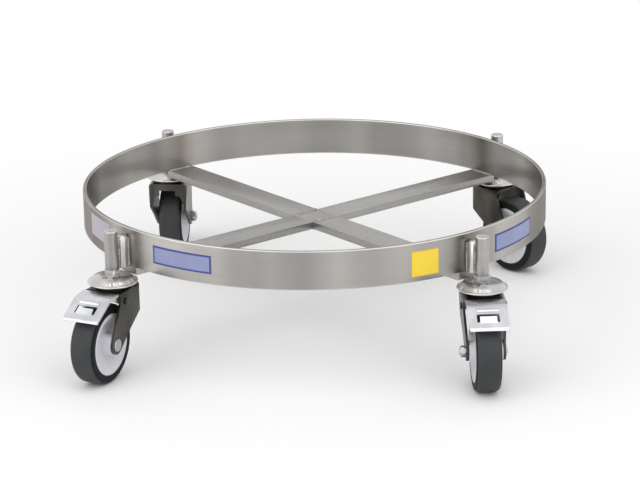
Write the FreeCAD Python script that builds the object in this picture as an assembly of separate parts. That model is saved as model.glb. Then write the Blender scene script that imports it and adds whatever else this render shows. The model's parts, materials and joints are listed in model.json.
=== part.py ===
import FreeCAD, Part
import math
import os

from FreeCAD import Placement, Rotation, Vector

# Drum trolley: a flat-bar hoop on four outboard swivel casters, the front two with brakes.
# Origin on the floor under the ring's centre, +Z up, front towards -Y.

# Ring rolled from flat bar
ring_inner_diameter = 600.0
bar_height = 50.0
bar_thickness = 5.0
bar_edge_chamfer = 0.8

# Flat bars crossed under the ring, on which the drum stands
cross_bar_width = 40.0
cross_bar_thickness = 10.0
seat_rise = 0.6
seat_gap = 0.5

# Round posts outside the ring, each welded to it through an upright spacer
post_diameter = 17.0
post_offset = 23.0
post_end_chamfer = 1.0
spacer_seat_depth = 0.6
spacer_end_chamfer = 2.5
spacer_drop = 9.0

# Threaded stem of the caster and its lock nut
stem_diameter = 12.0
stem_engagement = 30.0
stem_tip_gap = 2.0
thread_clearance = 0.1
lock_nut_width = 18.0
lock_nut_height = 10.0

# Swivel head: fixed cup above, fork crown with a raised race below
head_diameter = 64.0
race_share = 0.6875
cup_height = 7.0
cup_sheet = 3.0
cup_brim_width = 2.0
cup_brim_thickness = 2.0
race_gap = 4.5
race_rise = 4.5
bearing_inset = 1.0
bearing_width = 5.0
bearing_play = 0.3
king_pin_diameter = 14.0
king_pin_clearance = 1.5
lower_race_gap = 1.5
lower_race_thickness = 4.0
lower_race_bevel = 1.5
rivet_overhang = 3.0
rivet_height = 3.0

# Fork pressed from sheet
fork_sheet = 3.0
fork_reach = 27.0
fork_taper = 3.0
fork_shoulder_radius = 8.0
fork_back_radius = 12.0
fork_back_opening = 22.0
fork_back_lip = 7.0
fork_front_drop = 10.5
fork_waist_inset = 6.0
fork_waist_height = 29.0
axle_boss_radius = 12.0
trail = 36.0
crown_clearance = 11.5

# Wheel: tyre on a moulded centre that turns on a sleeve
wheel_diameter = 102.0
tyre_width = 33.0
tyre_side_height = 11.5
tyre_shoulder_radius = 7.0
rim_inset = 0.8
rim_depth = 5.0
web_thickness = 15.0
hub_diameter = 27.0
hub_length = 42.0
hub_side_gap = 0.5
sleeve_diameter = 12.0
sleeve_running_gap = 0.05

# Axle bolt and nut
axle_bolt_diameter = 8.0
axle_bolt_clearance = 0.1
axle_bolt_projection = 1.5
axle_head_diameter = 16.0
axle_head_height = 3.0
axle_head_rim = 1.0
axle_hex_width = 13.0
axle_nut_height = 6.5
hex_chamfer_rise = 1.0
hex_sides = 6

# Brake pedal, its pivot pin and shoe
pedal_width = 50.0
pedal_sheet = 2.5
pedal_setback = 2.5
pedal_drop = 0.5
pedal_flat_length = 20.0
pedal_flat_angle = 4.0
pedal_slope_length = 37.0
pedal_slope_angle = 29.0
pedal_lip_length = 3.5
pedal_lip_angle = 58.0
pedal_bend_radius = 20.0
pedal_lip_radius = 5.0
pedal_corner_radius = 8.0
window_width = 28.0
window_length = 13.0
window_setback = 14.0
tongue_width = 21.0
tongue_length = 9.5
tongue_sheet = 1.6
tongue_angle = 14.0
bead_length = 27.0
bead_width = 7.0
bead_height = 2.2
bead_setback = 8.5
ear_sheet = 2.5
ear_side_gap = 1.0
ear_radius = 5.5
ear_reach = 17.0
ear_step = 14.0
pivot_reach = 14.0
pivot_rise = 1.0
pivot_diameter = 6.0
pivot_running_gap = 0.05
pivot_head_diameter = 9.0
pivot_head_height = 1.5
brake_angle = 10.0
shoe_setback = 9.0
shoe_length = 18.0
shoe_width = 26.0
shoe_depth = 9.0
shoe_stop_gap = 0.4

# Length by which cutting shapes pass through what they cut
overrun = 4.0

# Heights from the floor up
axle_height = wheel_diameter / 2
crown_underside = wheel_diameter + crown_clearance
crown_top = crown_underside + fork_sheet
cup_rim = crown_top + race_gap
cup_top = cup_rim + cup_height
cup_ceiling = cup_top - cup_sheet
race_top = crown_top + race_rise
ring_bottom = cup_top + lock_nut_height

# Radii and widths shared by mating pieces
ring_inner_radius = ring_inner_diameter / 2
ring_outer_radius = ring_inner_radius + bar_thickness
post_circle_radius = ring_outer_radius + post_offset
head_radius = head_diameter / 2
race_radius = head_radius * race_share
cup_crown_radius = race_radius + cup_sheet
wheel_radius = wheel_diameter / 2
rim_radius = wheel_radius - tyre_side_height
fork_inner_half = hub_length / 2 + hub_side_gap
fork_outer_half = fork_inner_half + fork_sheet
fork_crown_half = fork_outer_half + fork_taper
pivot_height = wheel_diameter + pivot_rise
pedal_rear = fork_reach + pedal_setback
pedal_rear_height = crown_top - pedal_drop

# Caster places and trail directions, in degrees from -Y towards +X
caster_angles = {"front_left": -45.0, "front_right": 45.0, "rear_right": 135.0, "rear_left": -135.0}
trail_angles = {"front_left": -20.0, "front_right": 9.0, "rear_right": 46.0, "rear_left": 180.0}
braked_casters = ["front_left", "front_right"]
long_bar_angle = -45.0
short_bar_angle = 45.0

up = Vector(0, 0, 1)
across = Vector(0, 1, 0)
origin = Vector(0, 0, 0)


def side(x, z):
    return Vector(x, 0, z)


def plan(x, y):
    return Vector(x, y, 0)


def heading(degrees):
    """Unit direction of the side plane, at an angle from +X towards +Z."""
    angle = math.radians(degrees)
    return side(math.cos(angle), math.sin(angle))


def outline(start, *steps):
    """Closed wire; a step is the end of a straight run, or a (through, end) pair for an arc."""
    edges = []
    here = start
    for step in steps:
        if isinstance(step, tuple):
            through, end = step
            edges.append(Part.Arc(here, through, end).toShape())
        else:
            end = step
            edges.append(Part.LineSegment(here, end).toShape())
        here = end
    edges.append(Part.LineSegment(here, start).toShape())
    return Part.Wire(edges)


def prism(wire, direction):
    return Part.Face(wire).extrude(direction)


def across_prism(wire, half_width):
    """Side-plane outline pulled to both sides of the caster's middle plane."""
    low = wire.copy()
    low.translate(across * -half_width)
    return prism(low, across * (half_width + half_width))


def turned(wire, axis=up):
    return Part.Face(wire).revolve(origin, axis, 360)


def rod(radius, length, base, direction=up):
    return Part.makeCylinder(radius, length, base, direction)


def cross_rod(radius, half_length, x, z):
    """Rod along the axle direction, centred on the caster's middle plane."""
    return rod(radius, half_length + half_length, Vector(x, -half_length, z), across)


def hexagon(width, height, base, direction, bore_radius):
    """Hexagon nut with its corners turned down at both ends."""
    sector = 360 / hex_sides
    half_width = width / 2
    corner = half_width / math.cos(math.radians(sector / 2))
    points = [heading(sector * index) * corner for index in range(hex_sides + 1)]
    flat = Part.Wire(Part.makePolygon([plan(point.x, point.z) for point in points]))
    blank = prism(flat, up * height)
    turning = turned(outline(
        side(0, 0), side(half_width, 0), side(corner, hex_chamfer_rise),
        side(corner, height - hex_chamfer_rise), side(half_width, height), side(0, height)))
    body = blank.common(turning).cut(rod(bore_radius, height, origin))
    body.Placement = Placement(base, Rotation(up, direction))
    return body


def tangent(point, centre, radius, turn):
    """Where a line from a side-plane point touches a circle; turn is +1 or -1."""
    run = centre - point
    swing = turn * math.asin(radius / run.Length)
    reach = math.sqrt(run.Length ** 2 - radius ** 2)
    return point + heading(math.degrees(math.atan2(run.z, run.x) + swing)) * reach


def ring_shape():
    ring = rod(ring_outer_radius, bar_height, up * ring_bottom)
    ring = ring.cut(rod(ring_inner_radius, bar_height, up * ring_bottom))
    hoops = [edge for edge in ring.Edges if isinstance(edge.Curve, Part.Circle)]
    return ring.makeChamfer(bar_edge_chamfer, hoops)


def cross_bar(start, end, degrees):
    """Flat bar under the ring, its outer ends cut to the ring's curve and stepped to seat the ring."""
    base = ring_bottom + seat_rise - cross_bar_thickness
    corner = Vector(start, -cross_bar_width / 2, base)
    bar = Part.makeBox(end - start, cross_bar_width, cross_bar_thickness, corner)
    low = rod(ring_outer_radius, cross_bar_thickness - seat_rise, up * base)
    high = rod(ring_inner_radius - seat_gap, cross_bar_thickness, up * base)
    bar = bar.common(low.fuse(high))
    bar.rotate(origin, up, degrees)
    return bar


def post_shape():
    post = rod(post_diameter / 2, bar_height, up * ring_bottom)
    top = [edge for edge in post.Edges if edge.BoundBox.ZMin > ring_bottom]
    post = post.makeChamfer(post_end_chamfer, top)
    hole_radius = stem_diameter / 2 + thread_clearance
    return post.cut(rod(hole_radius, stem_engagement + stem_tip_gap, up * ring_bottom))


def spacer_shape():
    """Round bar between post and ring, hollowed to seat on both; +X is towards the ring."""
    post_radius = post_diameter / 2
    half_gap = (post_offset - post_radius) / 2
    radius = half_gap + spacer_seat_depth
    height = bar_height - spacer_drop
    spacer = turned(outline(
        side(0, 0), side(radius, 0), side(radius, height - spacer_end_chamfer),
        side(radius - spacer_end_chamfer, height), side(0, height)))
    spacer.translate(Vector(post_radius + half_gap, 0, ring_bottom))
    spacer = spacer.cut(rod(post_radius, height, up * ring_bottom))
    return spacer.cut(rod(ring_outer_radius, height, Vector(post_circle_radius, 0, ring_bottom)))


def stem_shape():
    """King pin riveted under the lower race, shouldered under the cup and threaded above it."""
    lower_race_base = race_top - fork_sheet - bearing_play - lower_race_thickness
    rivet_base = lower_race_base - rivet_height
    thread_top = ring_bottom + stem_engagement
    pin_radius = king_pin_diameter / 2
    rivet_radius = pin_radius + rivet_overhang
    thread_radius = stem_diameter / 2
    return turned(outline(
        side(0, rivet_base), side(rivet_radius - rivet_height / 2, rivet_base),
        side(rivet_radius, rivet_base + rivet_height / 2), side(rivet_radius, lower_race_base),
        side(pin_radius, lower_race_base), side(pin_radius, cup_ceiling),
        side(thread_radius, cup_ceiling), side(thread_radius, thread_top - stem_tip_gap),
        side(thread_radius - stem_tip_gap, thread_top), side(0, thread_top)))


def lock_nut_shape():
    return hexagon(lock_nut_width, lock_nut_height, up * cup_top, up, stem_diameter / 2)


def cup_shape():
    """Pressed cup, sloped down from a flat crown to a brim, open below."""
    hole = stem_diameter / 2
    foot = head_radius - cup_brim_width
    brim_top = cup_rim + cup_brim_thickness
    return turned(outline(
        side(hole, cup_ceiling), side(race_radius, cup_ceiling), side(foot - cup_sheet, cup_rim),
        side(head_radius, cup_rim), side(head_radius, brim_top), side(foot, brim_top),
        side(cup_crown_radius, cup_top), side(hole, cup_top)))


def swivel_bearing_shape():
    outer = race_radius - bearing_inset
    inner = outer - bearing_width
    height = cup_ceiling - bearing_play - race_top
    return rod(outer, height, up * race_top).cut(rod(inner, height, up * race_top))


def lower_race_shape():
    """Dished washer on the king pin, under the fork's raised race."""
    top = race_top - fork_sheet - bearing_play
    base = top - lower_race_thickness
    outer = race_radius - fork_sheet - lower_race_gap
    inner = king_pin_diameter / 2
    return turned(outline(
        side(inner, base), side(outer - lower_race_bevel, base), side(outer, base + lower_race_bevel),
        side(outer, top), side(inner, top)))


def fork_hood(leg_half, top, shoulder, back, corner):
    """Block with rounded top shoulders and back corners, drawn in to parallel legs at the axle."""
    reach = trail + axle_boss_radius + overrun
    knee = axle_height + axle_boss_radius
    half_width = leg_half + fork_taper
    flat = half_width - shoulder
    slope = shoulder * math.sqrt(0.5)
    front_view = outline(
        Vector(0, -leg_half, 0), Vector(0, -leg_half, knee), Vector(0, -half_width, top - shoulder),
        (Vector(0, -flat - slope, top - shoulder + slope), Vector(0, -flat, top)),
        Vector(0, flat, top),
        (Vector(0, flat + slope, top - shoulder + slope), Vector(0, half_width, top - shoulder)),
        Vector(0, leg_half, knee), Vector(0, leg_half, 0))
    front_view.translate(Vector(back, 0, 0))
    bend = back + corner
    level = half_width - corner
    turn = corner * math.sqrt(0.5)
    plan_view = outline(
        plan(reach, -half_width), plan(bend, -half_width),
        (plan(bend - turn, -level - turn), plan(back, -level)), plan(back, level),
        (plan(bend - turn, level + turn), plan(bend, half_width)), plan(reach, half_width))
    return prism(front_view, Vector(reach - back, 0, 0)).common(prism(plan_view, up * top))


def fork_side_view():
    """Leg outline: full crown above, swept forward at the waist to a round boss at the axle."""
    axle = side(trail, axle_height)
    back = -fork_reach
    waist = side(back + fork_waist_inset, axle_height + fork_waist_height)
    front = side(fork_reach, crown_top - fork_front_drop)
    front_touch = tangent(front, axle, axle_boss_radius, 1)
    back_touch = tangent(waist, axle, axle_boss_radius, -1)
    bottom = axle - up * axle_boss_radius
    return outline(side(back, crown_top), side(fork_reach, crown_top), front, front_touch,
                   (bottom, back_touch), waist)


def fork_shape(braked):
    """Pressed fork: sheet hood cut to the leg outline, raised race on the crown, holes for the pins."""
    shell = fork_hood(fork_outer_half, crown_top, fork_shoulder_radius, -fork_reach, fork_back_radius)
    hollow = fork_hood(fork_inner_half, crown_underside, fork_shoulder_radius - fork_sheet,
                       fork_sheet - fork_reach, fork_back_radius - fork_sheet)
    fork = shell.cut(hollow).common(across_prism(fork_side_view(), fork_crown_half))
    opening_height = crown_underside - fork_back_lip
    fork = fork.cut(Part.makeBox(fork_sheet + overrun, fork_back_opening, opening_height,
                                 Vector(-fork_reach - overrun, -fork_back_opening / 2, 0)))
    race_under = race_top - fork_sheet
    fork = fork.fuse(rod(race_radius, race_top - crown_underside, up * crown_underside))
    fork = fork.cut(rod(race_radius - fork_sheet, race_under - crown_underside, up * crown_underside))
    pin_hole = king_pin_diameter / 2 + king_pin_clearance
    fork = fork.cut(rod(pin_hole, race_top - crown_underside, up * crown_underside))
    axle_hole = axle_bolt_diameter / 2 + axle_bolt_clearance
    fork = fork.cut(cross_rod(axle_hole, fork_outer_half, trail, axle_height))
    if braked:
        fork = fork.cut(cross_rod(pivot_diameter / 2, fork_crown_half, pivot_reach, pivot_height))
    return fork.removeSplitter()


def axle_sleeve_shape():
    sleeve = cross_rod(sleeve_diameter / 2, fork_inner_half, trail, axle_height)
    bore = axle_bolt_diameter / 2 + axle_bolt_clearance
    return sleeve.cut(cross_rod(bore, fork_inner_half, trail, axle_height))


def axle_bolt_shape():
    """Bolt with a low domed head, turned about the axle."""
    shank = axle_bolt_diameter / 2
    head = axle_head_diameter / 2
    tail = -fork_outer_half - axle_nut_height - axle_bolt_projection
    rim = fork_outer_half + axle_head_rim
    crown = fork_outer_half + axle_head_height
    dome_rise = crown - rim
    dome_radius = (head ** 2 + dome_rise ** 2) / (dome_rise + dome_rise)
    dome_drop = dome_radius - math.sqrt(dome_radius ** 2 - shank ** 2)
    return on_axle(turned(outline(
        plan(0, tail), plan(shank, tail), plan(shank, fork_outer_half), plan(head, fork_outer_half),
        plan(head, rim), (plan(shank, crown - dome_drop), plan(0, crown))), across))


def axle_nut_shape():
    face = Vector(trail, -fork_outer_half, axle_height)
    return hexagon(axle_hex_width, axle_nut_height, face, -across, axle_bolt_diameter / 2)


def on_axle(shape):
    """Turned about +Y at the origin, moved to the axle."""
    shape.translate(Vector(trail, 0, axle_height))
    return shape


def tyre_shape():
    """Rubber tyre with rounded shoulders, bonded to the centre's rim."""
    half = tyre_width / 2
    shoulder = tyre_shoulder_radius
    flat = half - shoulder
    corner = wheel_radius - shoulder
    slope = shoulder * math.sqrt(0.5)
    seat = half - rim_inset
    return on_axle(turned(outline(
        plan(rim_radius, -seat), plan(corner, -half),
        (plan(corner + slope, -flat - slope), plan(wheel_radius, -flat)), plan(wheel_radius, flat),
        (plan(corner + slope, flat + slope), plan(corner, half)), plan(rim_radius, seat)), across))


def wheel_centre_shape():
    """Moulded centre: hub, dished web and rim under the tyre."""
    seat = tyre_width / 2 - rim_inset
    hub = hub_diameter / 2
    hub_half = hub_length / 2
    web = web_thickness / 2
    bore = sleeve_diameter / 2 + sleeve_running_gap
    rim_inner = rim_radius - rim_depth
    dish = (hub + rim_inner) / 2
    half_view = [(hub, hub_half), (hub, web), (dish, web), (rim_inner, seat), (rim_radius, seat)]
    right = [plan(radius, offset) for radius, offset in half_view]
    left = [plan(radius, -offset) for radius, offset in reversed(half_view)]
    return on_axle(turned(outline(plan(bore, -hub_half), plan(bore, hub_half), *right, *left), across))


def pedal_frame():
    """Corner points of the pedal's upper face, from its rear edge to its lip."""
    runs = [(pedal_flat_length, pedal_flat_angle), (pedal_slope_length, pedal_slope_angle),
            (pedal_lip_length, pedal_lip_angle)]
    points = [side(pedal_rear, pedal_rear_height)]
    for length, slope in runs:
        points.append(points[-1] + heading(-slope) * length)
    return points


def bent_sheet(points, radii, sheet):
    """Side view of a sheet folded downwards at each inner point, upper radius given."""
    runs = [(b - a).normalize() for a, b in zip(points, points[1:])]
    normals = [side(run.z, -run.x) for run in runs]
    upper = []
    lower = []
    for index, radius in enumerate(radii):
        into, out = runs[index], runs[index + 1]
        corner = points[index + 1]
        setback = radius * math.tan(into.getAngle(out) / 2)
        first = corner - into * setback
        last = corner + out * setback
        centre = first + normals[index] * radius
        middle = (corner - centre).normalize()
        upper += [first, (centre + middle * radius, last)]
        inner_arc = (centre + middle * (radius - sheet), first + normals[index] * sheet)
        lower = [last + normals[index + 1] * sheet, inner_arc] + lower
    heel, tip = points[0], points[-1]
    return outline(heel, *upper, tip, tip + normals[-1] * sheet, *lower, heel + normals[0] * sheet)


def pedal_shape():
    points = pedal_frame()
    sheet = bent_sheet(points, [pedal_bend_radius, pedal_lip_radius], pedal_sheet)
    half = pedal_width / 2
    plate = across_prism(sheet, half)
    tip = points[-1].x + pedal_sheet
    bend = tip - pedal_corner_radius
    level = half - pedal_corner_radius
    turn = pedal_corner_radius * math.sqrt(0.5)
    plan_view = outline(
        plan(pedal_rear, -half), plan(bend, -half),
        (plan(bend + turn, -level - turn), plan(tip, -level)), plan(tip, level),
        (plan(bend + turn, level + turn), plan(bend, half)), plan(pedal_rear, half))
    plate = plate.common(prism(plan_view, up * pedal_rear_height))
    bend_point = points[1]
    down = heading(-pedal_slope_angle)
    proud = heading(90 - pedal_slope_angle)
    window_rear = bend_point + down * window_setback
    window_front = window_rear + down * window_length
    window = outline(window_rear + proud * overrun, window_front + proud * overrun,
                     window_front - proud * overrun, window_rear - proud * overrun)
    plate = plate.cut(across_prism(window, window_width / 2))
    root = window_front + down * tongue_sheet
    free = root + heading(180 - pedal_slope_angle - tongue_angle) * tongue_length
    under = proud * -tongue_sheet
    tongue = outline(root, free, free + under, root + under)
    plate = plate.fuse(across_prism(tongue, tongue_width / 2))
    bead_middle = bend_point + down * bead_setback
    ahead = down * (bead_width / 2)
    bead = outline(bead_middle - ahead, (bead_middle + proud * bead_height, bead_middle + ahead))
    plate = plate.fuse(across_prism(bead, bead_length / 2))
    ear = ear_blank()
    pivot_hole = cross_rod(pivot_diameter / 2 + pivot_running_gap, half, pivot_reach, pivot_height)
    outer = fork_crown_half - fork_sheet - ear_side_gap
    for sign in (-1, 1):
        middle = sign * (outer - ear_sheet / 2)
        blade = across_prism(ear, ear_sheet / 2)
        blade.translate(across * middle)
        plate = plate.fuse(blade.cut(pivot_hole))
    return plate.removeSplitter()


def ear_blank():
    """Side view of a pedal ear: round at the pivot, stepped up under the plate."""
    pivot = side(pivot_reach, pivot_height)
    points = pedal_frame()
    under = heading(-90 - pedal_flat_angle) * pedal_sheet
    rear = points[0] + under
    front = rear + heading(-pedal_flat_angle) * ear_reach
    top = pivot + up * ear_radius
    step = top + Vector(ear_step, 0, 0)
    chin = tangent(front, pivot, ear_radius, 1)
    return outline(chin, (pivot - side(ear_radius, 0), top), step, rear, front)


def brake_shoe_shape():
    """Pad under the pedal, hollowed so that it stops just short of the tyre at full stroke."""
    points = pedal_frame()
    half = shoe_width / 2
    rear = points[0] + heading(-pedal_flat_angle) * shoe_setback
    front = rear + Vector(shoe_length, 0, 0)
    deep = Vector(0, 0, -shoe_depth)
    blank = across_prism(outline(rear, front, front + deep, rear + deep), half)
    sheet = bent_sheet(points, [pedal_bend_radius, pedal_lip_radius], pedal_sheet)
    above = across_prism(sheet, half)
    blank = blank.cut(above)
    tread = cross_rod(wheel_radius + shoe_stop_gap, half, trail, axle_height)
    tread.rotate(side(pivot_reach, pivot_height), across, -brake_angle)
    pad = blank.cut(tread)
    return min(pad.Solids, key=lambda solid: solid.CenterOfMass.z)


def pedal_pin_shape():
    pin = cross_rod(pivot_diameter / 2, fork_crown_half, pivot_reach, pivot_height)
    for sign in (-1, 1):
        face = Vector(pivot_reach, sign * fork_crown_half, pivot_height)
        pin = pin.fuse(rod(pivot_head_diameter / 2, pivot_head_height, face, across * sign))
    return pin.removeSplitter()


def post_place(name):
    angle = math.radians(caster_angles[name])
    return Vector(post_circle_radius * math.sin(angle), -post_circle_radius * math.cos(angle), 0)


def set_caster(shape, name):
    """Stood at its post and turned so that +X lies along the trail."""
    placed = shape.copy()
    placed.Placement = Placement(post_place(name), Rotation(up, trail_angles[name] - 90)) * shape.Placement
    return placed


def set_post(shape, name):
    """Stood at its post with +X towards the ring's axis."""
    placed = shape.copy()
    placed.Placement = Placement(post_place(name), Rotation(up, caster_angles[name] + 90)) * shape.Placement
    return placed


def build():
    """Every sub-part by its name, in place."""
    bar_half = cross_bar_width / 2
    nodes = {
        "drum_ring": ring_shape(),
        "cross_bar_long": cross_bar(-ring_outer_radius, ring_outer_radius, long_bar_angle),
        "cross_bar_short_front": cross_bar(-ring_outer_radius, -bar_half, short_bar_angle),
        "cross_bar_short_rear": cross_bar(bar_half, ring_outer_radius, short_bar_angle),
    }
    fixed = {
        "post": post_shape(),
        "spacer_plate": spacer_shape(),
        "caster_stem": stem_shape(),
        "swivel_cup": cup_shape(),
        "lower_race": lower_race_shape(),
    }
    turning = {
        "swivel_bearing": swivel_bearing_shape(),
        "axle_sleeve": axle_sleeve_shape(),
        "axle_bolt": axle_bolt_shape(),
        "axle_nut": axle_nut_shape(),
        "tyre": tyre_shape(),
        "wheel_centre": wheel_centre_shape(),
    }
    braking = {
        "pedal_pin": pedal_pin_shape(),
        "brake_pedal": pedal_shape(),
        "brake_shoe": brake_shoe_shape(),
    }
    forks = {braked: fork_shape(braked) for braked in (True, False)}
    lock_nut = lock_nut_shape()
    nodes["lock_nuts"] = Part.Compound([set_post(lock_nut, name) for name in caster_angles])
    for name in caster_angles:
        braked = name in braked_casters
        nodes["fork_" + name] = set_caster(forks[braked], name)
        for piece, shape in fixed.items():
            nodes[piece + "_" + name] = set_post(shape, name)
        for piece, shape in turning.items():
            nodes[piece + "_" + name] = set_caster(shape, name)
        if braked:
            for piece, shape in braking.items():
                nodes[piece + "_" + name] = set_caster(shape, name)
    return nodes


def main():
    os.makedirs("parts", exist_ok=True)
    for name, shape in build().items():
        shape.exportStep(os.path.join("parts", name + ".step"))


main()
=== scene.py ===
import json
import math

import bpy
from mathutils import Matrix, Vector

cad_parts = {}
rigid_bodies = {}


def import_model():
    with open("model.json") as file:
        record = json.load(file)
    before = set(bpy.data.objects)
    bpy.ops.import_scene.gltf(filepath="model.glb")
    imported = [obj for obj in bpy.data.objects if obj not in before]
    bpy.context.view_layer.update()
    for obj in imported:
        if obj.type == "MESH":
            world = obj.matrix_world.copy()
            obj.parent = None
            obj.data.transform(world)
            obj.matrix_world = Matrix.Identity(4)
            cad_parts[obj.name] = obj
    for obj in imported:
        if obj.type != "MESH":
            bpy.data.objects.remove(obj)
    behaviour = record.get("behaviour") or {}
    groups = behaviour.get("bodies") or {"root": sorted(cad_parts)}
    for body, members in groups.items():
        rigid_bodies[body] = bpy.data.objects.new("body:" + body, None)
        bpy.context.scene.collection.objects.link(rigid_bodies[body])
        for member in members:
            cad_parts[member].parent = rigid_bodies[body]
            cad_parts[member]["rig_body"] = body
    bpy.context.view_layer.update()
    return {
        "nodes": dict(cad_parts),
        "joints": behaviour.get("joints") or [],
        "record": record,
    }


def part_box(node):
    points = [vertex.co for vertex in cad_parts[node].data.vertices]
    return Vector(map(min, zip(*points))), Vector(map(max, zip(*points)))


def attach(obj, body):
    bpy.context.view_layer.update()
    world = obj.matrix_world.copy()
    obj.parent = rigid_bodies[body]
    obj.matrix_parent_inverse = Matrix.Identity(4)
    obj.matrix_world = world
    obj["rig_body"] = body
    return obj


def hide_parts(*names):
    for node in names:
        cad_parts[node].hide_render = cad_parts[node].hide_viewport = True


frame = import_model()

nodes = frame["nodes"]
slotOf = {row["node"]: row["material_slot"] for row in frame["record"]["subparts"]}
mountOf = {mount["name"]: mount for mount in frame["record"]["mounts"]}
jointOf = {joint["name"]: joint for joint in frame["joints"]}
casters = ["front_left", "front_right", "rear_right", "rear_left"]
print("frame loaded,", len(nodes), "nodes")


# places read from the frame, in metres

ringLow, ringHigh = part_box("drum_ring")
ringOuter = (ringHigh.x - ringLow.x) / 2
ringBore = mountOf["drum_ring"]["dims"]["r_mm"] / 1000
barLow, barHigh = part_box("cross_bar_short_front")
upward = Vector((0, 0, 1))


def postPlace(caster):
    spot = Vector(jointOf["swivel_" + caster]["pos_m"])
    return Vector((spot.x, spot.y, 0))


def outward(caster):
    return postPlace(caster).normalized()


def aside(direction):  # a quarter turn to the left, seen from above
    return Vector((-direction.y, direction.x, 0))


# selecting and shaping

def pickOnly(piece):
    bpy.ops.object.select_all(action="DESELECT")
    piece.select_set(True)
    bpy.context.view_layer.objects.active = piece


def selectFaces(piece, wanted):  # leaves the piece in edit mode
    bpy.ops.object.mode_set(mode="EDIT")
    bpy.ops.mesh.select_mode(type="FACE")
    bpy.ops.mesh.select_all(action="DESELECT")
    bpy.ops.object.mode_set(mode="OBJECT")
    for face in piece.data.polygons:
        face.select = wanted(face.center, face.normal)
    bpy.ops.object.mode_set(mode="EDIT")


def selectEdges(piece, wanted):  # leaves the piece in edit mode
    bpy.ops.object.mode_set(mode="EDIT")
    bpy.ops.mesh.select_mode(type="EDGE")
    bpy.ops.mesh.select_all(action="DESELECT")
    bpy.ops.object.mode_set(mode="OBJECT")
    points = piece.data.vertices
    for edge in piece.data.edges:
        edge.select = wanted(points[edge.vertices[0]].co, points[edge.vertices[1]].co)
    bpy.ops.object.mode_set(mode="EDIT")


def backToObject(piece, smoothAngle=35):
    bpy.ops.object.mode_set(mode="OBJECT")
    pickOnly(piece)
    bpy.ops.object.shade_smooth_by_angle(angle=math.radians(smoothAngle))


def placedCopy(source, name, place):  # own mesh, with its place in the mesh
    piece = source.copy()
    piece.data = source.data.copy()
    piece.name = name
    piece.data.transform(place)
    bpy.context.scene.collection.objects.link(piece)
    return piece


def discard(piece):
    bpy.data.objects.remove(piece)


def belongs(piece, body, slot=None, *stoodFor):
    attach(piece, body)
    if stoodFor:
        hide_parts(*stoodFor)


# materials

def startMaterial(name):
    material = bpy.data.materials.new(name)
    material.use_nodes = True
    tree = material.node_tree
    return material, tree, tree.nodes["Principled BSDF"]


def addNode(tree, kind, **settings):
    node = tree.nodes.new(kind)
    for key, value in settings.items():
        setattr(node, key, value)
    return node


noShift = (0, 0, 0)


def objectPattern(tree, stretch, detail, roughness=0.55, shift=noShift):
    # noise, stretched along each axis
    coords = addNode(tree, "ShaderNodeTexCoord")
    mapping = addNode(tree, "ShaderNodeMapping")
    mapping.inputs["Scale"].default_value = stretch
    mapping.inputs["Location"].default_value = shift
    noise = addNode(tree, "ShaderNodeTexNoise")
    noise.inputs["Scale"].default_value = 1.0
    noise.inputs["Detail"].default_value = detail
    noise.inputs["Roughness"].default_value = roughness
    tree.links.new(coords.outputs["Object"], mapping.inputs["Vector"])
    tree.links.new(mapping.outputs["Vector"], noise.inputs["Vector"])
    return noise.outputs["Fac"]


def ramp(tree, fac, *stops):  # stops are (place, colour)
    node = addNode(tree, "ShaderNodeValToRGB")
    row = node.color_ramp.elements
    for place, colour in stops[1:-1]:
        row.new(place)
    for element, (place, colour) in zip(row, stops):
        element.position = place
        element.color = (*colour, 1.0)
    tree.links.new(fac, node.inputs["Fac"])
    return node.outputs["Color"]


def multiply(tree, first, second):
    node = addNode(tree, "ShaderNodeMix", data_type="RGBA", blend_type="MULTIPLY")
    node.inputs["Factor"].default_value = 1.0
    tree.links.new(first, node.inputs["A"])
    tree.links.new(second, node.inputs["B"])
    return node.outputs["Result"]


def rangeOf(tree, value, low, high, start=0.0, end=1.0):
    node = addNode(tree, "ShaderNodeMapRange")
    node.inputs["From Min"].default_value = start
    node.inputs["From Max"].default_value = end
    node.inputs["To Min"].default_value = low
    node.inputs["To Max"].default_value = high
    tree.links.new(value, node.inputs["Value"])
    return node.outputs["Result"]


def combine(tree, operation, first, second):
    node = addNode(tree, "ShaderNodeMath", operation=operation)
    tree.links.new(first, node.inputs[0])
    tree.links.new(second, node.inputs[1])
    return node.outputs[0]


def bump(tree, shader, height, strength, distance):
    node = addNode(tree, "ShaderNodeBump")
    node.inputs["Strength"].default_value = strength
    node.inputs["Distance"].default_value = distance
    tree.links.new(height, node.inputs["Height"])
    tree.links.new(node.outputs["Normal"], shader.inputs["Normal"])


fullWhite = (1.0, 1.0, 1.0)


def shades(colour, *levels):
    return [tuple(channel * level for channel in colour) for level in levels]


def heatTintAndShade(tree, tone, seams, look):  # heat tint beside the upright welds, dark then straw; the dark part is also painted shade beside the posts and spacers
    coords = addNode(tree, "ShaderNodeTexCoord")
    level = addNode(tree, "ShaderNodeVectorMath", operation="MULTIPLY")
    level.inputs[1].default_value = (1, 1, 0)  # heights left out
    tree.links.new(coords.outputs["Object"], level.inputs[0])
    nearest = None
    for seam in seams:
        gap = addNode(tree, "ShaderNodeVectorMath", operation="DISTANCE")
        gap.inputs[1].default_value = (seam.x, seam.y, 0)
        tree.links.new(level.outputs[0], gap.inputs[0])
        gap = gap.outputs["Value"]
        nearest = gap if nearest is None else combine(tree, "MINIMUM", nearest, gap)
    far = rangeOf(tree, nearest, 0.0, 1.0, look["from"], look["to"])
    # the darkest colour, at the seam, is heat tint and painted shade together
    tint = ramp(tree, far, (0.0, look["burntAndShade"]), (look["strawAt"], look["straw"]), (1.0, fullWhite))
    return multiply(tree, tone, tint)


steelPattern = {"bandDetail": 2.0, "bandStops": (0.32, 0.5, 0.66), "smudgeDetail": 3.0,
                "smudgeGloss": (-0.05, 0.07), "lineDetail": 5.0, "lineRoughness": 0.7,
                "lineStops": (0.3, 0.7), "lineGloss": (-0.04, 0.05), "lineRise": 0.00005}


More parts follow.
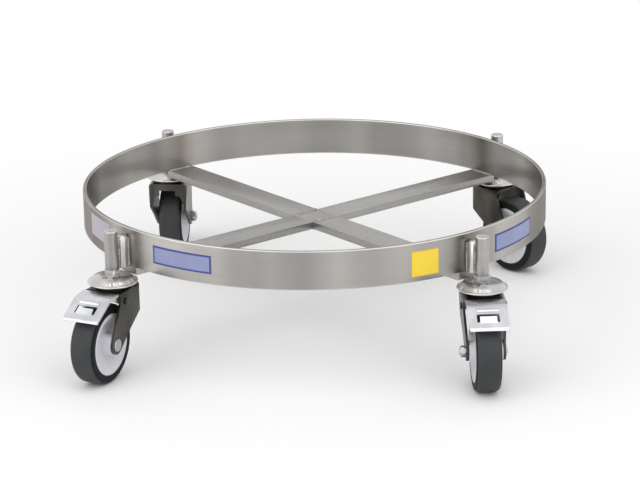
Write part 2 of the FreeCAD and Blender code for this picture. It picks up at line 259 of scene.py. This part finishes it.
def steel(name, look, seams=()):
    # broad bands of tone, fine lines, smudges in the gloss
    material, tree, shader = startMaterial(name)
    shader.inputs["Metallic"].default_value = 1.0
    if "grazing" in look:  # duller where it is seen edge on
        shader.inputs["Specular Tint"].default_value = (*look["grazing"], 1.0)
    bandShift = look.get("bandShift", noShift)
    bands = objectPattern(tree, look["bands"], steelPattern["bandDetail"], shift=bandShift)
    lines = objectPattern(tree, look["lines"], steelPattern["lineDetail"], steelPattern["lineRoughness"])
    smudges = objectPattern(tree, look["smudges"], steelPattern["smudgeDetail"])
    depth = look["bandDepth"]
    tones = shades(look["colour"], 1.0 - depth, 1.0, 1.0 + depth)
    tone = ramp(tree, bands, *zip(steelPattern["bandStops"], tones))
    scratches = shades(fullWhite, 1.0 - look["lineDepth"], 1.0)
    tone = multiply(tree, tone, ramp(tree, lines, *zip(steelPattern["lineStops"], scratches)))
    if seams:
        tone = heatTintAndShade(tree, tone, seams, look["heat"])
    tree.links.new(tone, shader.inputs["Base Color"])
    lineGloss = rangeOf(tree, lines, *steelPattern["lineGloss"])
    smudgeGloss = rangeOf(tree, smudges, *steelPattern["smudgeGloss"])
    gloss = combine(tree, "ADD", lineGloss, smudgeGloss)
    rough = addNode(tree, "ShaderNodeMath", operation="ADD")
    rough.inputs[1].default_value = look["roughness"]
    tree.links.new(gloss, rough.inputs[0])
    tree.links.new(rough.outputs[0], shader.inputs["Roughness"])
    bump(tree, shader, lines, look["bump"], steelPattern["lineRise"])
    return material


# edge colour lightened as a painted highlight, up to the brightest level
edgeHighlightTone = {"brightest": 0.86, "bandDepth": 0.08, "polish": 0.05}


def paintedEdgeHighlight(name, look):  # the same steel, lightened on its eased edges as a painted highlight
    lighter = tuple(min(edgeHighlightTone["brightest"], channel * look["edge"]) for channel in look["colour"])
    highlighted = {"colour": lighter, "bandDepth": edgeHighlightTone["bandDepth"],
              "roughness": look["roughness"] - edgeHighlightTone["polish"]}
    return steel(name, {**look, **highlighted})


finishes = {}
edgeHighlightFinishes = {}

ringLook = {"colour": (0.46, 0.444, 0.423), "bands": (9.0, 9.0, 0.5), "bandDepth": 0.28,
            "bandShift": (8.9, 21.5, 11.1), "lines": (7.0, 7.0, 1400.0), "lineDepth": 0.16,
            "smudges": (14.0, 14.0, 14.0), "roughness": 0.30, "bump": 0.18, "edge": 1.45,
            "grazing": (0.42, 0.41, 0.40),
            # heat tint near the posts; its dark colour is also painted shade beside the posts and spacers
            "heat": {"from": 0.004, "to": 0.026, "strawAt": 0.45, "burntAndShade": (0.62, 0.60, 0.58),
                     "straw": (0.86, 0.82, 0.77)}}
seamPlaces = [outward(caster) * ringOuter for caster in casters]
finishes["ring"] = steel("rolled ring steel", ringLook, seamPlaces)
edgeHighlightFinishes["ring"] = paintedEdgeHighlight("rolled ring edge", ringLook)

barLook = {"colour": (0.42, 0.41, 0.395), "bands": (5.0, 5.0, 5.0), "bandDepth": 0.16,
           "lines": (160.0, 160.0, 900.0), "lineDepth": 0.2, "smudges": (20.0, 20.0, 20.0),
           "roughness": 0.36, "bump": 0.2, "edge": 1.3}
finishes["bar"] = steel("mill bar steel", barLook)
edgeHighlightFinishes["bar"] = paintedEdgeHighlight("mill bar edge", barLook)

postLook = {"colour": (0.47, 0.455, 0.44), "bands": (60.0, 60.0, 6.0), "bandDepth": 0.2,
            "lines": (60.0, 60.0, 1800.0), "lineDepth": 0.18, "smudges": (60.0, 60.0, 60.0),
            "roughness": 0.28, "bump": 0.15, "edge": 1.3}
finishes["post"] = steel("turned post steel", postLook)
edgeHighlightFinishes["post"] = paintedEdgeHighlight("turned post edge", postLook)

# spacer steel lighter than the post steel: painted light on the spacers
spacerLitLook = {"colour": (0.61, 0.597, 0.58), "bands": (80.0, 80.0, 25.0), "bandDepth": 0.14,
              "lines": (300.0, 300.0, 90.0), "lineDepth": 0.14, "smudges": (80.0, 80.0, 80.0),
              "roughness": 0.30, "bump": 0.12, "edge": 1.35}
finishes["spacer"] = steel("spacer steel brightened as painted light", spacerLitLook)
edgeHighlightFinishes["spacer"] = paintedEdgeHighlight("spacer edge with painted highlight", spacerLitLook)

cupLook = {"colour": (0.62, 0.61, 0.60), "bands": (30.0, 30.0, 30.0), "bandDepth": 0.1,
           "lines": (500.0, 500.0, 2500.0), "lineDepth": 0.07, "smudges": (70.0, 70.0, 70.0),
           "roughness": 0.23, "bump": 0.05, "edge": 1.08}
finishes["cup"] = steel("polished cup steel", cupLook)
edgeHighlightFinishes["cup"] = paintedEdgeHighlight("polished cup edge", cupLook)

# fork steel colour kept very dark to paint the shade the forks sit in
forkShadeLook = {"colour": (0.085, 0.079, 0.069), "bands": (30.0, 30.0, 8.0), "bandDepth": 0.5,
            "lines": (900.0, 900.0, 900.0), "lineDepth": 0.25, "smudges": (55.0, 55.0, 30.0),
            "roughness": 0.29, "bump": 0.12, "edge": 1.6}
finishes["fork"] = steel("fork steel darkened as painted shade", forkShadeLook)
edgeHighlightFinishes["fork"] = paintedEdgeHighlight("fork edge with painted highlight", forkShadeLook)

pedalLook = {"colour": (0.67, 0.68, 0.71), "bands": (40.0, 40.0, 40.0), "bandDepth": 0.12,
             "lines": (700.0, 700.0, 700.0), "lineDepth": 0.14, "smudges": (90.0, 90.0, 90.0),
             "roughness": 0.29, "bump": 0.08}
finishes["pedal"] = steel("bright pedal steel", pedalLook)

fastenerLook = {"colour": (0.52, 0.515, 0.51), "bands": (80.0, 80.0, 80.0), "bandDepth": 0.15,
                "lines": (1200.0, 1200.0, 1200.0), "lineDepth": 0.16, "smudges": (120.0, 120.0, 120.0),
                "roughness": 0.26, "bump": 0.1, "edge": 1.25}
finishes["fastener"] = steel("machined fastener steel", fastenerLook)
edgeHighlightFinishes["fastener"] = paintedEdgeHighlight("machined fastener edge", fastenerLook)

# darker steel for the stem, race and bearing in the swivel gap: painted shade
raceShadeLook = {"colour": (0.33, 0.32, 0.305), "bands": (90.0, 90.0, 90.0), "bandDepth": 0.3,
              "lines": (800.0, 800.0, 800.0), "lineDepth": 0.3, "smudges": (90.0, 90.0, 90.0),
              "roughness": 0.38, "bump": 0.15}
finishes["race shade"] = steel("race steel darkened as painted shade", raceShadeLook)

weldLook = {"colour": (0.40, 0.38, 0.355), "bands": (150.0, 150.0, 150.0), "bandDepth": 0.35,
            "lines": (900.0, 900.0, 900.0), "lineDepth": 0.3, "smudges": (200.0, 200.0, 200.0),
            "roughness": 0.36, "bump": 0.2}
finishes["weld"] = steel("weld steel", weldLook)


mouldPattern = {"cloudDetail": 3.0, "cloudStops": (0.3, 0.7), "cloudGloss": (-0.05, 0.07),
                "grainDetail": 2.0, "grainStops": (0.35, 0.6), "grainRise": 0.0001}


def moulded(name, look):
    # rubber or plastic: cloudy tone and gloss, fine grain
    material, tree, shader = startMaterial(name)
    clouds = objectPattern(tree, (look["clouds"],) * 3, mouldPattern["cloudDetail"])
    grain = objectPattern(tree, (look["grain"],) * 3, mouldPattern["grainDetail"])
    tones = shades(look["colour"], 1.0 - look["depth"], 1.0 + look["depth"])
    tone = ramp(tree, clouds, *zip(mouldPattern["cloudStops"], tones))
    specks = shades(fullWhite, 1.0 - look["grainDepth"], 1.0)
    speck = ramp(tree, grain, *zip(mouldPattern["grainStops"], specks))
    tree.links.new(multiply(tree, tone, speck), shader.inputs["Base Color"])
    glossy, dull = (look["roughness"] + change for change in mouldPattern["cloudGloss"])
    tree.links.new(rangeOf(tree, clouds, glossy, dull), shader.inputs["Roughness"])
    shader.inputs["Specular IOR Level"].default_value = look["shine"]
    bump(tree, shader, grain, look["bump"], mouldPattern["grainRise"])
    return material


tyreLook = {"colour": (0.029, 0.031, 0.033), "clouds": 45.0, "depth": 0.24, "grain": 1500.0,
            "grainDepth": 0.18, "roughness": 0.58, "shine": 0.5, "bump": 0.35}
finishes["tyre"] = moulded("grey tyre rubber", tyreLook)
# the tyre walls get a darker colour and less shine than the tread: painted shade on the sides
tyreWallShadeLook = {**tyreLook, "colour": (0.011, 0.0115, 0.0125), "shine": 0.15}
finishes["tyre wall"] = moulded("black tyre wall", tyreWallShadeLook)

wheelLook = {"colour": (0.62, 0.625, 0.66), "clouds": 30.0, "depth": 0.05, "grain": 1100.0,
             "grainDepth": 0.05, "roughness": 0.44, "shine": 0.5, "bump": 0.12}
finishes["wheel"] = moulded("pale wheel plastic", wheelLook)
edgeHighlightFinishes["wheel"] = finishes["wheel"]

shoeLook = {"colour": (0.028, 0.028, 0.03), "clouds": 60.0, "depth": 0.2, "grain": 1300.0,
            "grainDepth": 0.2, "roughness": 0.7, "shine": 0.3, "bump": 0.4}
finishes["shoe"] = moulded("black shoe rubber", shoeLook)
print("finishes made:", len(finishes))

finishOf = {"drum_ring": "ring", "cross_bar": "bar", "post": "post", "spacer_plate": "spacer",
            "lock_nuts": "fastener", "caster_stem": "race shade", "swivel_cup": "cup", "lower_race": "race shade",
            "swivel_bearing": "race shade", "fork": "fork", "axle": "fastener", "pedal_pin": "fork",
            "tyre": "tyre", "wheel_centre": "wheel", "brake_pedal": "pedal", "brake_shoe": "shoe"}


def finishName(nodeName):
    return next(finish for start, finish in finishOf.items() if nodeName.startswith(start))


def coat(piece, *materials):
    piece.data.materials.clear()
    for material in materials:
        piece.data.materials.append(material)


for nodeName, node in nodes.items():
    coat(node, finishes[finishName(nodeName)])


# pieces with their edges eased and lightened as a painted highlight, in the place of the sharp ones

easedEdges = {"drum_ring": 0.0005, "cross_bar": 0.0003, "post": 0.0006, "spacer_plate": 0.0004,
              "lock_nuts": 0.0004, "axle_bolt": 0.00035, "axle_nut": 0.00035, "pedal_pin": 0.00035,
              "swivel_cup": 0.0006, "wheel_centre": 0.0006}
chamferedPieces = ("drum_ring", "post")
easing = {"squareAngle": 62, "chamferAngle": 38, "segments": 2, "flatAngle": 0.6,
          "mergeBefore": 0.000004, "mergeAfter": 0.000001}


def easeEdges(nodeName, width):
    node = nodes[nodeName]
    chamfered = nodeName.startswith(chamferedPieces)
    sharpAngle = easing["chamferAngle"] if chamfered else easing["squareAngle"]
    piece = bpy.data.objects.new(nodeName + "_eased", node.data.copy())
    bpy.context.scene.collection.objects.link(piece)
    finish = finishName(nodeName)
    coat(piece, finishes[finish], edgeHighlightFinishes[finish])
    pickOnly(piece)
    bpy.ops.object.mode_set(mode="EDIT")
    bpy.ops.mesh.select_all(action="SELECT")
    bpy.ops.mesh.remove_doubles(threshold=easing["mergeBefore"])
    bpy.ops.mesh.dissolve_limited(angle_limit=math.radians(easing["flatAngle"]))
    bpy.ops.object.mode_set(mode="OBJECT")
    bpy.ops.object.modifier_add(type="BEVEL")
    ease = piece.modifiers[-1]
    ease.width = width
    ease.segments = easing["segments"]
    ease.limit_method = "ANGLE"
    ease.angle_limit = math.radians(sharpAngle)
    ease.use_clamp_overlap = False
    # the bevel faces take the second slot: the edge steel with its painted highlight
    ease.material = 1
    bpy.ops.object.modifier_apply(modifier=ease.name)
    bpy.ops.object.mode_set(mode="EDIT")
    bpy.ops.mesh.select_all(action="SELECT")
    bpy.ops.mesh.remove_doubles(threshold=easing["mergeAfter"])
    bpy.ops.mesh.dissolve_degenerate(threshold=easing["mergeAfter"])
    backToObject(piece)
    belongs(piece, node["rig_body"], slotOf[nodeName], nodeName)


for nodeName in sorted(nodes):
    for start, width in easedEdges.items():
        if nodeName.startswith(start):
            easeEdges(nodeName, width)
print("edges eased")


# tyres

tyreShape = {"around": 96, "shoulder": 0.007, "shoulderSteps": 6, "seatDrop": 0.0008,
             "sideMargin": 0.0012, "grooveWidth": 0.0003, "grooveDepth": 0.0005, "smoothAngle": 30}
tyreFaces = {"sideFrom": 0.9, "shadedWallFrom": 0.75, "treadShare": 0.99, "levelWithin": 0.0001}


def onSide(centre, normal):  # a face that looks along the axle
    return abs(normal.y) > tyreFaces["sideFrom"]


def makeTyre():
    low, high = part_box("tyre_rear_left")  # its axle lies along X
    rimLow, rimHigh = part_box("wheel_centre_rear_left")
    radius = (high.z - low.z) / 2
    rimRadius = (rimHigh.z - rimLow.z) / 2
    bpy.ops.object.select_all(action="DESELECT")
    bpy.ops.mesh.primitive_cylinder_add(vertices=tyreShape["around"], radius=radius, depth=high.x - low.x,
                                        location=(0, 0, 0), rotation=(math.pi / 2, 0, 0))
    tyre = bpy.context.active_object
    bpy.ops.object.transform_apply(location=True, rotation=True, scale=True)
    selectFaces(tyre, onSide)
    bpy.ops.mesh.inset(thickness=radius - rimRadius, depth=-tyreShape["seatDrop"])
    bpy.ops.mesh.delete(type="FACE")
    bpy.ops.mesh.select_mode(type="EDGE")
    bpy.ops.mesh.select_non_manifold()
    bpy.ops.mesh.bridge_edge_loops()
    outer = radius * tyreFaces["treadShare"]
    selectEdges(tyre, lambda one, two: min(one.xz.length, two.xz.length) > outer
                and abs(one.y - two.y) < tyreFaces["levelWithin"])
    bpy.ops.mesh.bevel(offset=tyreShape["shoulder"], segments=tyreShape["shoulderSteps"], affect="EDGES")
    selectFaces(tyre, onSide)
    bpy.ops.mesh.inset(thickness=tyreShape["sideMargin"])
    bpy.ops.mesh.inset(thickness=tyreShape["grooveWidth"], depth=-tyreShape["grooveDepth"])
    bpy.ops.mesh.select_all(action="SELECT")
    bpy.ops.mesh.normals_make_consistent(inside=False)
    backToObject(tyre, tyreShape["smoothAngle"])
    coat(tyre, finishes["tyre"], finishes["tyre wall"])
    # faces that look along the axle take the darker wall rubber, painted shade
    selectFaces(tyre, lambda centre, normal: abs(normal.y) > tyreFaces["shadedWallFrom"])
    tyre.active_material_index = 1
    bpy.ops.object.material_slot_assign()
    bpy.ops.object.mode_set(mode="OBJECT")
    return tyre


def wheelPlace(caster):  # local Y along the axle, Z up
    joint = jointOf["roll_" + caster]
    along = Vector(joint["axis"])
    turn = Matrix((along.cross(upward), along, upward)).transposed().to_4x4()
    return Matrix.Translation(joint["pos_m"]) @ turn


tyreModel = makeTyre()
for caster in casters:
    tyre = placedCopy(tyreModel, "tyre_" + caster + "_moulded", wheelPlace(caster))
    belongs(tyre, "wheel_" + caster, "tyre_rubber", "tyre_" + caster)
discard(tyreModel)
print("tyres moulded")


# weld beads

beadShape = {"radius": 0.0019, "sides": 10, "ripplePitch": 0.0024, "rippleSwell": 1.14, "fewestRipples": 4,
             "capInset": 0.4, "capRise": 0.35, "capFrom": 0.9, "capWithin": 0.00001, "smoothAngle": 60}


def makeBead(length):  # a rippled run of weld along Z, standing on the origin
    ripples = max(beadShape["fewestRipples"], round(length / (beadShape["ripplePitch"] / 2)))
    radius = beadShape["radius"]
    bpy.ops.object.select_all(action="DESELECT")
    bpy.ops.mesh.primitive_cylinder_add(vertices=beadShape["sides"], radius=radius, depth=length,
                                        location=(0, 0, length / 2))
    bead = bpy.context.active_object
    bpy.ops.object.transform_apply(location=True, rotation=True, scale=True)
    selectEdges(bead, lambda one, two: abs(one.z - two.z) > length / 2)
    bpy.ops.mesh.subdivide(number_cuts=ripples - 1)
    step = length / ripples
    bpy.ops.object.mode_set(mode="OBJECT")
    for point in bead.data.vertices:
        point.select = round(point.co.z / step) % 2 == 1
    bpy.ops.object.mode_set(mode="EDIT")
    bpy.ops.mesh.select_mode(type="VERT")
    swell = beadShape["rippleSwell"]
    bpy.ops.transform.resize(value=(swell, swell, 1), center_override=(0, 0, 0))
    for end in (0, length):
        selectFaces(bead, lambda centre, normal: abs(centre.z - end) < beadShape["capWithin"]
                    and abs(normal.z) > beadShape["capFrom"])
        bpy.ops.mesh.inset(thickness=radius * beadShape["capInset"], depth=radius * beadShape["capRise"])
    backToObject(bead, beadShape["smoothAngle"])
    coat(bead, finishes["weld"])
    return bead


def layBead(bead, name, spot, along):
    turn = upward.rotation_difference(along).to_matrix().to_4x4()
    belongs(placedCopy(bead, name, Matrix.Translation(spot) @ turn), "frame", "frame_steel")


postSeam = {"post": {"along": 0.0083, "aside": 0.0046}, "ring": {"along": 0.0224, "aside": 0.0053},
            "footGap": 0.0010, "topGap": 0.0035}


def weldPosts():  # upright runs in the grooves where each spacer meets its post and the ring
    spacerLow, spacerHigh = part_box("spacer_plate_front_left")
    foot = spacerLow.z + postSeam["footGap"]
    bead = makeBead(spacerHigh.z - postSeam["topGap"] - foot)
    for caster in casters:
        inward = -outward(caster)
        for seam in ("post", "ring"):
            start = postPlace(caster) + inward * postSeam[seam]["along"]
            for hand, sign in (("left", 1), ("right", -1)):
                spot = start + aside(inward) * sign * postSeam[seam]["aside"]
                spot.z = foot
                layBead(bead, "weld_" + seam + "_" + hand + "_" + caster, spot, upward)
    discard(bead)


barSeam = {"width": 0.040, "runShare": 0.92, "sink": 0.0006, "buttedSides": ("front_right", "rear_left")}


def weldBars():  # level runs where the bars meet the ring's inside, and where they cross
    half = barSeam["width"] / 2
    halfRun = half * barSeam["runShare"]
    top = barHigh.z - barSeam["sink"]
    bead = makeBead(halfRun * 2)
    for caster in casters:
        away = outward(caster)
        sideways = aside(away)
        spot = away * ringBore - sideways * halfRun
        spot.z = top
        layBead(bead, "weld_bar_end_" + caster, spot, sideways)
    for caster in barSeam["buttedSides"]:
        away = outward(caster)
        sideways = aside(away)
        for face, height in (("top", top), ("under", barLow.z + barSeam["sink"])):
            spot = away * half - sideways * halfRun
            spot.z = height
            layBead(bead, "weld_crossing_" + face + "_" + caster, spot, sideways)
    discard(bead)


weldPosts()
weldBars()
print("posts and bars welded")


# blank labels on the ring

labelShapes = {
    "label_blue_front": {"angle": -27.0, "height": 0.1635, "size": (0.088, 0.0235), "border": 0.0024,
                         "finish": "blue"},
    "label_yellow_front": {"angle": 32.3, "height": 0.161, "size": (0.038, 0.0325), "border": 0.0012,
                           "finish": "yellow"},
    "label_blue_right": {"angle": 62.0, "height": 0.162, "size": (0.088, 0.0235), "border": 0.0024,
                         "finish": "blue"},
    "label_pale_left": {"angle": -58.1, "height": 0.167, "size": (0.062, 0.028), "border": 0.0012,
                        "finish": "pale"},
}
labelSheet = {"thickness": 0.0003, "lift": 0.00005, "degreesPerStep": 1.5, "fewestSteps": 4,
              "mergeWithin": 0.000001, "uprightBelow": 0.5, "smoothAngle": 30}
labelLook = {"clouds": 25.0, "depth": 0.06, "grain": 700.0, "grainDepth": 0.06, "roughness": 0.4,
             "shine": 0.4, "bump": 0.05}


def labelPaint(name, colour):
    return moulded(name, {**labelLook, "colour": colour})


labelPaints = {  # border, then panel
    "blue": (labelPaint("blue label border", (0.055, 0.068, 0.27)),
             labelPaint("blue label panel", (0.27, 0.30, 0.49))),
    "yellow": (labelPaint("yellow label border", (0.78, 0.55, 0.03)),
               labelPaint("yellow label panel", (0.90, 0.65, 0.045))),
    "pale": (labelPaint("pale label border", (0.50, 0.47, 0.51)),
             labelPaint("pale label panel", (0.43, 0.385, 0.44))),
}


def makeLabel(name, shape):
    inner = ringOuter + labelSheet["lift"]
    outer = inner + labelSheet["thickness"]
    middle = (inner + outer) / 2
    width, height = shape["size"]
    turn = width / outer
    first = math.radians(shape["angle"]) - turn / 2  # from the front, -Y, towards +X
    bpy.ops.object.select_all(action="DESELECT")
    bpy.ops.mesh.primitive_plane_add(size=1, location=(0, 0, 0))
    label = bpy.context.active_object
    label.name = name
    stretch = Matrix.Diagonal((outer - inner, 1, height, 1)) @ Matrix.Rotation(math.pi / 2, 4, "X")
    section = Matrix.Translation((middle, 0, shape["height"])) @ stretch
    label.data.transform(Matrix.Rotation(first - math.pi / 2, 4, "Z") @ section)
    bpy.ops.object.mode_set(mode="EDIT")
    bpy.ops.mesh.select_all(action="SELECT")
    steps = max(labelSheet["fewestSteps"], round(math.degrees(turn) / labelSheet["degreesPerStep"]))
    bpy.ops.mesh.spin(steps=steps, angle=-turn, center=(0, 0, 0), axis=(0, 0, 1))
    bpy.ops.mesh.select_all(action="SELECT")
    bpy.ops.mesh.remove_doubles(threshold=labelSheet["mergeWithin"])
    bpy.ops.mesh.normals_make_consistent(inside=False)
    bpy.ops.object.mode_set(mode="OBJECT")
    coat(label, *labelPaints[shape["finish"]])
    faceFrom = middle + labelSheet["thickness"] / 4
    selectFaces(label, lambda centre, normal: centre.xy.length > faceFrom
                and abs(normal.z) < labelSheet["uprightBelow"])
    bpy.ops.mesh.inset(thickness=shape["border"])
    label.active_material_index = 1
    bpy.ops.object.material_slot_assign()
    backToObject(label, labelSheet["smoothAngle"])
    belongs(label, "frame")


for labelName, labelShape in labelShapes.items():
    makeLabel(labelName, labelShape)
print("labels laid on")


# floor, light and camera

stageLook = {"floorSize": 14.0, "floorColour": (0.95, 0.95, 0.95), "floorRoughness": 0.8,
             "cloudScale": 0.6, "cloudDetail": 1.0, "cloudStops": (0.3, 0.7), "cloudShade": 0.985,
             "whiteFrom": 0.40, "whiteTo": 0.95, "worldFill": 0.72}


def plainlySeen(tree):  # 1 for rays that show the backdrop: straight, mirrored or through glass
    path = addNode(tree, "ShaderNodeLightPath")
    seen = path.outputs["Is Camera Ray"]
    for other in ("Is Glossy Ray", "Is Transmission Ray"):
        seen = combine(tree, "MAXIMUM", seen, path.outputs[other])
    return seen


def makeFloor():
    bpy.ops.object.select_all(action="DESELECT")
    bpy.ops.mesh.primitive_plane_add(size=stageLook["floorSize"], location=(0, 0, 0))
    floor = bpy.context.active_object
    floor.name = "floor"
    material, tree, shader = startMaterial("pale floor")
    cloud = objectPattern(tree, (stageLook["cloudScale"],) * 3, stageLook["cloudDetail"])
    tones = shades(stageLook["floorColour"], stageLook["cloudShade"], 1.0)
    tone = ramp(tree, cloud, *zip(stageLook["cloudStops"], tones))
    tree.links.new(tone, shader.inputs["Base Color"])
    shader.inputs["Roughness"].default_value = stageLook["floorRoughness"]
    coords = addNode(tree, "ShaderNodeTexCoord")
    reach = addNode(tree, "ShaderNodeVectorMath", operation="LENGTH")
    tree.links.new(coords.outputs["Object"], reach.inputs[0])
    far = rangeOf(tree, reach.outputs["Value"], 0.0, 1.0, stageLook["whiteFrom"], stageLook["whiteTo"])
    white = addNode(tree, "ShaderNodeEmission")
    mix = addNode(tree, "ShaderNodeMixShader")
    tree.links.new(combine(tree, "MULTIPLY", far, plainlySeen(tree)), mix.inputs["Fac"])
    tree.links.new(shader.outputs[0], mix.inputs[1])
    tree.links.new(white.outputs[0], mix.inputs[2])
    tree.links.new(mix.outputs[0], tree.nodes["Material Output"].inputs["Surface"])
    coat(floor, material)


def makeWorld():
    world = bpy.data.worlds.new("studio")
    bpy.context.scene.world = world
    world.use_nodes = True
    tree = world.node_tree
    fill = tree.nodes["Background"]
    fill.inputs["Color"].default_value = (*fullWhite, 1.0)
    fill.inputs["Strength"].default_value = stageLook["worldFill"]
    white = addNode(tree, "ShaderNodeBackground")
    white.inputs["Color"].default_value = (*fullWhite, 1.0)
    mix = addNode(tree, "ShaderNodeMixShader")
    tree.links.new(plainlySeen(tree), mix.inputs["Fac"])
    tree.links.new(fill.outputs[0], mix.inputs[1])
    tree.links.new(white.outputs[0], mix.inputs[2])
    tree.links.new(mix.outputs[0], tree.nodes["World Output"].inputs["Surface"])


lamps = {
    "top lamp": {"place": (0.2, -2.0, 3.2), "size": 4.5, "power": 48.0},
    "left lamp": {"place": (-2.6, -2.2, 1.9), "size": 3.2, "power": 27.0},
    "right lamp": {"place": (2.8, -1.4, 1.6), "size": 2.6, "power": 14.0},
}
lampTarget = (0, 0, 0.1)


def makeLamps():
    for name, lamp in lamps.items():
        bpy.ops.object.select_all(action="DESELECT")
        bpy.ops.object.light_add(type="AREA", location=lamp["place"])
        light = bpy.context.active_object
        light.name = name
        light.data.size = lamp["size"]
        light.data.energy = lamp["power"]
        aim = Vector(lampTarget) - Vector(lamp["place"])
        light.rotation_euler = aim.to_track_quat("-Z", "Y").to_euler()


cameraView = {"azimuth": 6.2, "reach": 3.4212, "height": 1.2099, "target": (0.006, 0.0, 0.098),
              "roll": -1.0, "lens": 152.0, "clipEnd": 40.0}


def makeCamera():
    turn = math.radians(cameraView["azimuth"])
    reach = cameraView["reach"]
    place = Vector((reach * math.sin(turn), -reach * math.cos(turn), cameraView["height"]))
    aim = Vector(cameraView["target"]) - place
    bpy.ops.object.camera_add(location=place)
    camera = bpy.context.active_object
    roll = Matrix.Rotation(math.radians(cameraView["roll"]), 3, "Z")
    camera.rotation_euler = (aim.to_track_quat("-Z", "Y").to_matrix() @ roll).to_euler()
    camera.data.lens = cameraView["lens"]
    camera.data.clip_end = cameraView["clipEnd"]
    bpy.context.scene.camera = camera


makeFloor()
makeWorld()
makeLamps()
makeCamera()
bpy.context.scene.view_settings.view_transform = "Standard"
print("stage, lamps and camera set")
